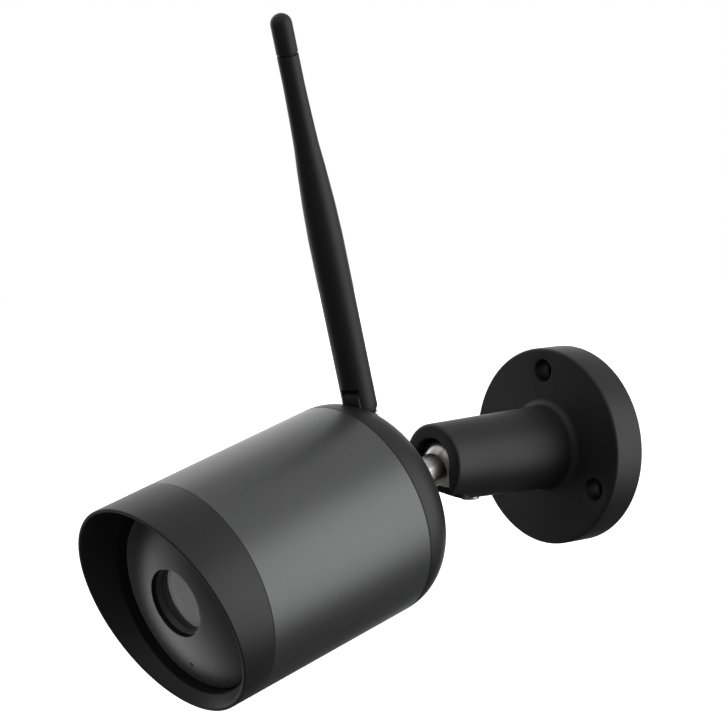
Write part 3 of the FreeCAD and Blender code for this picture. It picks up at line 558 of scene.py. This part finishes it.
# ---- head: shell
def rearCap():
    cap = {"wall": 2.0, "seat": 5.6, "seatFloor": 25.0, "stem": 1.95, "stud": 3.05, "boss": 7,
           "screwAt": 10.6}
    edge = head["edge"]
    glandPlace = glandFrame()
    start = head["rear"]
    seam = head["rearSeam"]
    spigot = head["spigotRadius"]
    inner = head["radius"] - cap["wall"]
    piece = turned("rearCap", [
        (0, start), (head["radius"], start, edge), (head["radius"], seam, 0.2), (spigot, seam),
        (spigot, seam + 2), (spigot - 1.5, seam + 2), (spigot - 1.5, seam + 4), (spigot, seam + 4),
        (spigot, seam + head["spigot"], 0.4), (spigot - 2, seam + head["spigot"]), (spigot - 2, seam),
        (inner, seam - 1), (inner, start + cap["wall"], edge - cap["wall"]), (0, start + cap["wall"])],
        headPlace, 192)
    box = [(-6, 17.5), (6, 17.5), (6, 29.2), (-6, 29.2)]
    upper = prism("antennaBoss", box, start + 3.5, start + 9.5, headPlace)
    post = turned("studBoss", [(0, start + 1), (cap["boss"], start + 1), (cap["boss"], start + 10, 0.4),
                               (0, start + 10)], headPlace, 64)
    shape = [(0, start), (head["radius"] - 0.5, start + 0.5, edge), (head["radius"] - 0.5, seam), (0, seam)]
    combine(upper, [turned("capLimit", shape, headPlace, 96)], "INTERSECT")
    pad = [(0, 0), (gland["boss"], 0, 0.4), (gland["boss"], gland["pad"], 0.2), (0, gland["pad"])]
    combine(piece, [upper, post, turned("glandBoss", pad, glandPlace, 96)], "UNION")
    seat = cap["seat"]
    stem = cap["stem"]
    stud = cap["stud"]
    antennaPlace = headPlace @ Matrix.Translation((0, 0, head["antennaAt"])) @ upwards
    cutters = [
        turned("seatCutter", [(0, cap["seatFloor"]), (seat, cap["seatFloor"]), (seat, 40), (0, 40)],
               antennaPlace, 96),
        turned("stemCutter", [(0, 12), (stem, 12), (stem, 30), (0, 30)], antennaPlace, 48),
        turned("glandCutter", [(0, -1), (gland["hole"], -1), (gland["hole"], 6), (0, 6)], glandPlace, 64),
        turned("studCutter", [(0, start - 1), (stud, start - 1), (stud, start + 12), (0, start + 12)],
               headPlace, 64)]
    for across, level in ((1, 1), (-1, 1), (-1, -1), (1, -1)):
        spot = headPlace @ Matrix.Translation((across * cap["screwAt"], level * cap["screwAt"], start))
        cutters.append(turned("capScrewCutter", [
            (0, -1), (3.9, -1), (3.9, 0), (2.7, 0, 0.3), (2.7, 1.2), (1.5, 1.2), (1.5, 4), (0, 4)], spot, 48))
    combine(piece, cutters)
    finished(piece, "head", "shell_plastic", "rear_cap")


def capScrews():
    screw = {"at": 10.6, "head": 2.5, "shank": 1.25, "seat": 29.2, "top": 28.2, "end": 39.0}
    pieces = []
    for across, level in ((1, 1), (-1, 1), (-1, -1), (1, -1)):
        spot = headPlace @ Matrix.Translation((across * screw["at"], level * screw["at"], 0))
        one = turned("oneScrew", [
            (0, screw["top"]), (screw["head"], screw["top"], 0.4), (screw["head"], screw["seat"]),
            (screw["shank"], screw["seat"]), (screw["shank"], screw["end"], 0.5),
            (0, screw["end"])], spot, 48)
        cross = []
        for wide, tall in ((0.35, 1.5), (1.5, 0.35)):
            corners = [(-wide, -tall), (wide, -tall), (wide, tall), (-wide, tall)]
            cross.append(prism("crossCutter", corners, screw["top"] - 1, screw["top"] + 0.55, spot))
        pieces.append(combine(one, cross))
    finished(together("rearCapScrews", pieces), "head", "steel", "rear_cap_screws")


def barrelTube():
    piece = turned("barrelTube", [
        (head["radius"] - head["tubeWall"], head["rearSeam"] + 0.03),
        (head["radius"], head["rearSeam"] + 0.03, 0.18), (head["radius"], head["frontSeam"] - 0.03, 0.18),
        (head["radius"] - head["tubeWall"], head["frontSeam"] - 0.03)], headPlace, 256)
    finished(piece, "head", "barrel_metal", "barrel")


def rainHood():
    hood = {"mean": 13.2, "slant": 6.1, "edge": 1.1, "ledge": 28.9, "ledgeAt": 4.6}
    seam = head["frontSeam"]
    radius = head["radius"]
    mouth = radius - hood["edge"]

    def outline(angle):
        rise = hood["slant"] * math.cos(angle)
        return [
            (hood["ledge"], seam - head["spigot"]), (head["spigotRadius"], seam - head["spigot"], 0.4),
            (head["spigotRadius"], seam - 4), (head["spigotRadius"] - 1.5, seam - 4),
            (head["spigotRadius"] - 1.5, seam - 2), (head["spigotRadius"], seam - 2),
            (head["spigotRadius"], seam), (radius, seam, 0.15),
            (radius, seam + hood["mean"] + rise, 0.4),
            (mouth, seam + hood["mean"] + rise * mouth / radius, 0.5),
            (hood["ledge"], seam + hood["ledgeAt"], 0.4)]

    finished(turned("rainHood", outline, headPlace, 224), "head", "shell_plastic", "visor")


def frontPanel():
    face = {"dome": 63.8, "apex": 8.3, "edge": 27.65, "drop": 0.7, "tilt": 4.5, "wall": 2.0, "recess": 10.2,
            "floor": 3.2, "sight": 7.4, "boss": 11.6, "flange": 28.8, "mic": 0.6, "micAt": 20.8,
            "micAngle": 175.4}
    seam = head["frontSeam"]
    lean = math.tan(math.radians(face["tilt"]))

    def edge(angle, height, radius):
        # the panel's side wall leans, so its sections are circles whose centres drift upwards
        shift = -face["drop"] + (height - 2) * lean
        return shift * math.cos(angle) + math.sqrt(radius ** 2 - (shift * math.sin(angle)) ** 2)

    def domed(radius, thin=0.0):
        return face["apex"] - face["dome"] + math.sqrt((face["dome"] - thin) ** 2 - radius ** 2)

    def outline(angle):
        rim = face["edge"]
        for _ in range(3):
            rim = edge(angle, domed(rim), face["edge"])
        inside = edge(angle, -1, face["edge"] - face["wall"])
        dome = [face["recess"] + (rim - face["recess"]) * step / 14 for step in range(1, 14)]
        back = [face["boss"] + (inside - face["boss"]) * step / 6 for step in range(1, 6)]
        corners = [(face["recess"], face["floor"]), (face["recess"], domed(face["recess"]), 0.18)]
        corners += [(r, domed(r)) for r in dome]
        corners += [(rim, domed(rim), 0.3), (edge(angle, -3.2, face["edge"]), -3.2), (face["flange"], -3.2),
                    (face["flange"], -5.2, 0.3), (inside, -5.2), (inside, domed(inside, face["wall"]))]
        corners += [(r, domed(r, face["wall"])) for r in reversed(back)]
        corners += [(face["boss"], domed(face["boss"], face["wall"])), (face["boss"], 2.2),
                    (face["sight"], 2.2), (face["sight"], face["floor"])]
        return [(corner[0], seam + corner[1], *corner[2:]) for corner in corners]

    piece = turned("frontPanel", outline, headPlace, 224)
    angle = math.radians(face["micAngle"])
    spot = (-face["micAt"] * math.sin(angle), face["micAt"] * math.cos(angle), seam)
    hole = [(0, 0), (face["mic"], 0), (face["mic"], 12), (0, 12)]
    combine(piece, [turned("micCutter", hole, headPlace @ Matrix.Translation(spot), 40)])
    finished(piece, "head", "face_plastic", "front_panel")


def windowPieces():
    window = {"outer": 10.1, "inner": 9.05, "sight": 8.6, "glass": 9.0, "floor": 3.2, "rim": 6.1,
              "glassFront": 4.6}
    seam = head["frontSeam"]
    lip = window["glassFront"] + 0.02
    bezel = turned("windowBezel", [
        (window["inner"], seam + window["floor"]), (window["outer"], seam + window["floor"]),
        (window["outer"], seam + window["rim"], 0.12), (window["outer"] - 0.3, seam + window["rim"], 0.1),
        (window["sight"], seam + lip, 0.08), (window["inner"], seam + lip)], headPlace, 128)
    finished(bezel, "head", "bezel_plastic", "window_bezel")
    front = seam + window["glassFront"]
    glass = turned("lensWindow", [(0, front - 1), (window["glass"], front - 1, 0.12),
                                  (window["glass"], front, 0.12), (0, front)], headPlace, 128)
    finished(glass, "head", "glass", "lens_window")


# ---- head: lens behind the window
def lensPieces():
    lens = {"front": 2.2, "length": 13.0, "outer": 6.4, "body": 6.0, "clear": 4.2, "seat": 4.8,
            "rearHole": 3.2, "bend": 9.0, "dome": 4.15, "glass": 4.7, "glassAt": 1.25, "glassBack": 4.0}
    front = head["frontSeam"] + lens["front"]
    back = front - lens["length"]
    body = turned("lensBarrel", [
        (lens["seat"], front - 1.2), (lens["clear"], front - 1.2), (lens["clear"] + 0.5, front, 0.15),
        (lens["outer"], front, 0.35), (lens["outer"], front - 4, 0.2), (lens["body"], front - 4),
        (lens["body"], back, 0.3), (lens["rearHole"], back, 0.2), (lens["rearHole"], back + 2),
        (lens["seat"], back + 2)], headPlace, 96)
    finished(body, "head", "lens_metal", "lens_barrel")
    low = math.sqrt(lens["bend"] ** 2 - lens["dome"] ** 2)
    start = math.degrees(math.acos(lens["dome"] / lens["bend"]))
    dome = bow((0, front - lens["glassAt"] - low), lens["bend"], start, 90, 18)
    dome[-1] = (0, dome[-1][1])
    first = turned("frontElement", [
        (0, front - lens["glassBack"]), (lens["glass"], front - lens["glassBack"]),
        (lens["glass"], front - lens["glassAt"]), *dome], headPlace, 96)
    finished(first, "head", "coated_glass", "front_element")
    sleeve = {"inner": 6.9, "outer": 7.3, "back": head["frontSeam"] - 1.7, "front": head["frontSeam"] + 3.1}
    hood = turned("lightHood", [
        (sleeve["inner"], sleeve["back"], 0.1), (sleeve["outer"], sleeve["back"], 0.1),
        (sleeve["outer"], sleeve["front"], 0.15), (sleeve["inner"], sleeve["front"], 0.15)], headPlace, 96)
    finished(hood, "head", "rubber", "light_hood")


def cableGland():
    seal = {"bore": 2.2, "flange": 4.4, "flat": 1.2, "mouth": 3.0, "end": -5.4, "shank": 3.35, "inside": 8.0}
    ribs = []
    for number in range(3):
        height = seal["end"] + 0.8 + number
        wide = seal["mouth"] + 0.3 + 0.45 * number
        ribs += [(wide, height), (wide - 0.35, height + 0.25), (wide - 0.35, height + 0.55),
                 (wide + 0.35, height + 0.8)]
    piece = turned("cableGland", [
        (seal["bore"], seal["end"], 0.2), (seal["mouth"], seal["end"], 0.3), *ribs,
        (seal["flange"], -seal["flat"]), (seal["flange"], 0, 0.2), (seal["shank"], 0),
        (seal["shank"], seal["inside"], 0.3), (seal["bore"], seal["inside"])], glandFrame(), 72)
    finished(piece, "head", "rubber", "cable_gland")


# ---- antenna
def antennaBase():
    base = {"foot": 4.9, "thick": 0.4, "seat": -5.75, "half": 2.65, "deep": 4.9, "crown": 5.5, "stem": 1.9,
            "stemEnd": -17.3, "pin": 1.25}
    foot = turned("baseFoot", [
        (0, base["stemEnd"]), (base["stem"], base["stemEnd"], 0.3), (base["stem"], base["seat"]),
        (base["foot"], base["seat"], 0.15), (base["foot"], base["seat"] + base["thick"], 0.25),
        (0, base["seat"] + base["thick"])], forkPlace, 96)
    deep = base["deep"]
    side = math.degrees(math.acos(deep / base["crown"]))
    tongue = prism("baseTongue", [(-deep, base["seat"] + 0.5), (deep, base["seat"] + 0.5),
                                  *bow((0, 0), base["crown"], side, 180 - side, 20)],
                   -base["half"], base["half"], forkPlace @ acrossPin)
    softened(tongue, 0.2, 50)
    bore = turned("pinBore", [(0, -8), (base["pin"], -8), (base["pin"], 8), (0, 8)],
                  forkPlace @ acrossPin, 48)
    piece = combine(combine(foot, [tongue], "UNION"), [bore])
    piece.name = "antennaBase"
    finished(piece, "aerial_base", "antenna_plastic", "antenna_base")


def antennaMast():
    mast = {"lean": 3.8, "radius": 5.05, "long": 119.2, "cap": 12.0, "tip": 3.1, "slotTop": 5.8, "slot": 2.75,
            "pin": 1.2}
    place = forkPlace @ Matrix.Rotation(math.radians(mast["lean"]), 4, "X")
    long = mast["long"]
    neck = long - mast["cap"]
    radius = mast["radius"]
    ball = radius + 0.4
    turn = math.degrees(math.acos(radius / ball))
    piece = turned("antennaMast", [
        (0, -radius), *bow((0, 0), ball, turn - 90, -turn, 10), (radius, 0), (radius, long - 67, 40),
        (radius - 0.3, long - 57, 60),
        (4.1, long - 45.5, 60), (3.6, long - 39, 60), (3.3, long - 30, 60), (mast["tip"], long - 21, 60),
        (mast["tip"], neck, 0.25), (2.4, neck), (0, neck)], place, 96)
    wide = radius + 1
    heel = prism("heelShape", [(-radius, -radius, radius - 0.001), (radius, -radius, radius - 0.001),
                               (radius, long), (-radius, long)], -wide, wide, place @ acrossPin)
    combine(piece, [heel], "INTERSECT")
    slot = prism("forkSlot", [(-mast["slot"], -9), (mast["slot"], -9), (mast["slot"], mast["slotTop"], 0.5),
                              (-mast["slot"], mast["slotTop"], 0.5)], -9, 9, place @ downwards)
    hole = mast["pin"] + 0.02
    bore = turned("forkBore", [(0, -8), (hole, -8), (hole, radius - 1), (0, radius - 1)],
                  place @ acrossPin, 48)
    combine(piece, [slot, bore])
    finished(piece, "aerial", "antenna_plastic", "antenna_mast")
    pin = turned("antennaPin", [(0, 0.45 - radius), (mast["pin"], 0.45 - radius, 0.2),
                                (mast["pin"], radius - 1.05, 0.2), (0, radius - 1.05)], place @ acrossPin, 48)
    finished(pin, "aerial", "steel", "antenna_pin")
    cap = turned("antennaTip", [
        (0, neck + 0.05), (2.45, neck + 0.05), (2.45, neck + 0.4), (mast["tip"], neck + 0.45, 0.25),
        (mast["tip"], long, mast["tip"] - 0.02), (0, long)], place, 96)
    finished(cap, "aerial", "antenna_plastic", "antenna_tip")


for make in (wallBracket, lockScrew, ballStud, studNut, studWasher, rearCap, capScrews, barrelTube, rainHood,
             frontPanel, windowPieces, lensPieces, cableGland, antennaBase, antennaMast):
    make()
    print("made", make.__name__)


# ---- studio
def floorDisc(room):
    mesh = bmesh.new()
    bmesh.ops.create_circle(mesh, cap_ends=True, segments=96, radius=room["half"])
    data = bpy.data.meshes.new("floor")
    mesh.to_mesh(data)
    mesh.free()
    floor = bpy.data.objects.new("floor", data)
    floor.location.z = room["floor"]
    floor.visible_diffuse = False                       # the paper is lit evenly and lights nothing itself
    floor.visible_glossy = False
    bpy.context.scene.collection.objects.link(floor)
    paper = Finish("whitePaper")
    speck = paper.noise(40, 3.0)
    data.materials.append(paper.done(colour=paper.tint(speck, (0.9, 0.9, 0.9), (0.94, 0.94, 0.94)),
                                     roughness=0.9, glowColour=(1, 1, 1, 1), glow=1.0))


def facing(azimuth, height):
    # the direction of a soft box: 0 is in front of the wall, 90 to its right
    turn = math.radians(azimuth)
    lift = math.radians(height)
    return (math.sin(turn) * math.cos(lift), -math.cos(turn) * math.cos(lift), math.sin(lift))


def studio():
    room = {"floor": -0.32, "half": 6.0, "dim": 0.095, "seen": 1.0, "ceiling": 0.5, "front": 0.05}
    # each soft box: azimuth and height of its middle, half width of its core and of its edge, level
    boxes = {"rightSide": (128, 5, 18, 44, 1.85), "leftSide": (-100, 18, 24, 42, 1.0),
             "backdrop": (-145, 0, 14, 30, 1.0), "lowLeft": (-92, -12, 12, 36, 0.5)}
    floorDisc(room)
    world = bpy.data.worlds.new("studioSky")
    world.use_nodes = True
    sky = Net(world.node_tree)
    way = sky.node("ShaderNodeTexCoord", output="Generated")

    def towards(axis, low, high):
        aligned = sky.node("ShaderNodeVectorMath", {"operation": "DOT_PRODUCT"}, {0: way, 1: axis},
                           output="Value")
        return sky.step(aligned, low, high)

    level = room["dim"] + towards((0, 0, 1), 0.15, 0.85) * room["ceiling"]
    level = level + towards(facing(20, 5), 0.3, 0.9) * room["front"]
    for azimuth, height, core, edge, strength in boxes.values():
        glow = towards(facing(azimuth, height), math.cos(math.radians(edge)), math.cos(math.radians(core)))
        level = level + glow * strength
    seen = sky.node("ShaderNodeLightPath", output="Is Camera Ray")
    sky.feed(world.node_tree.nodes["Background"].inputs["Strength"], level * (1 - seen) + seen * room["seen"])
    world.node_tree.nodes["Background"].inputs["Color"].default_value = (1, 1, 1, 1)
    bpy.context.scene.world = world
    bpy.context.scene.view_settings.view_transform = "Standard"


def softLight(name, azimuth, height, side, power, lit):
    # a square soft light that shines on these pieces only
    lamp = bpy.data.lights.new(name, "AREA")
    lamp.size = side
    lamp.energy = power
    holder = bpy.data.objects.new(name, lamp)
    centre = headPlace @ Vector((0, 0, head["frontSeam"])) * mm
    holder.location = centre + Vector(facing(azimuth, height)) * 0.8
    holder.rotation_euler = (centre - holder.location).to_track_quat("-Z", "Y").to_euler()
    holder.visible_camera = False
    bpy.context.scene.collection.objects.link(holder)
    group = bpy.data.collections.new(name)
    for piece in lit:
        group.objects.link(bpy.data.objects[piece])
    holder.light_linking.receiver_collection = group
    holder.light_linking.blocker_collection = group


def viewpoint():
    eye = {"spot": (566.7, -579.05, 101.0), "ahead": (-0.75217, 0.65279, -0.09002),
           "up": (-0.04685, 0.08328, 0.99542), "lens": 126.4}
    back = -Vector(eye["ahead"]).normalized()
    side = Vector(eye["up"]).cross(back).normalized()
    up = back.cross(side)
    data = bpy.data.cameras.new("viewpoint")
    data.lens = eye["lens"]
    data.sensor_width = 36
    data.clip_start = 0.01
    data.clip_end = 50
    camera = bpy.data.objects.new("viewpoint", data)
    turn = Matrix((side, up, back)).transposed().to_4x4()
    camera.matrix_world = Matrix.Translation(Vector(eye["spot"]) * mm) @ turn
    bpy.context.scene.collection.objects.link(camera)
    bpy.context.scene.camera = camera


studio()
softLight("faceLight", -84, -18, 1.0, 4.0, ["frontPanel", "windowBezel", "lensWindow", "frontElement"])
viewpoint()
print("studio made")
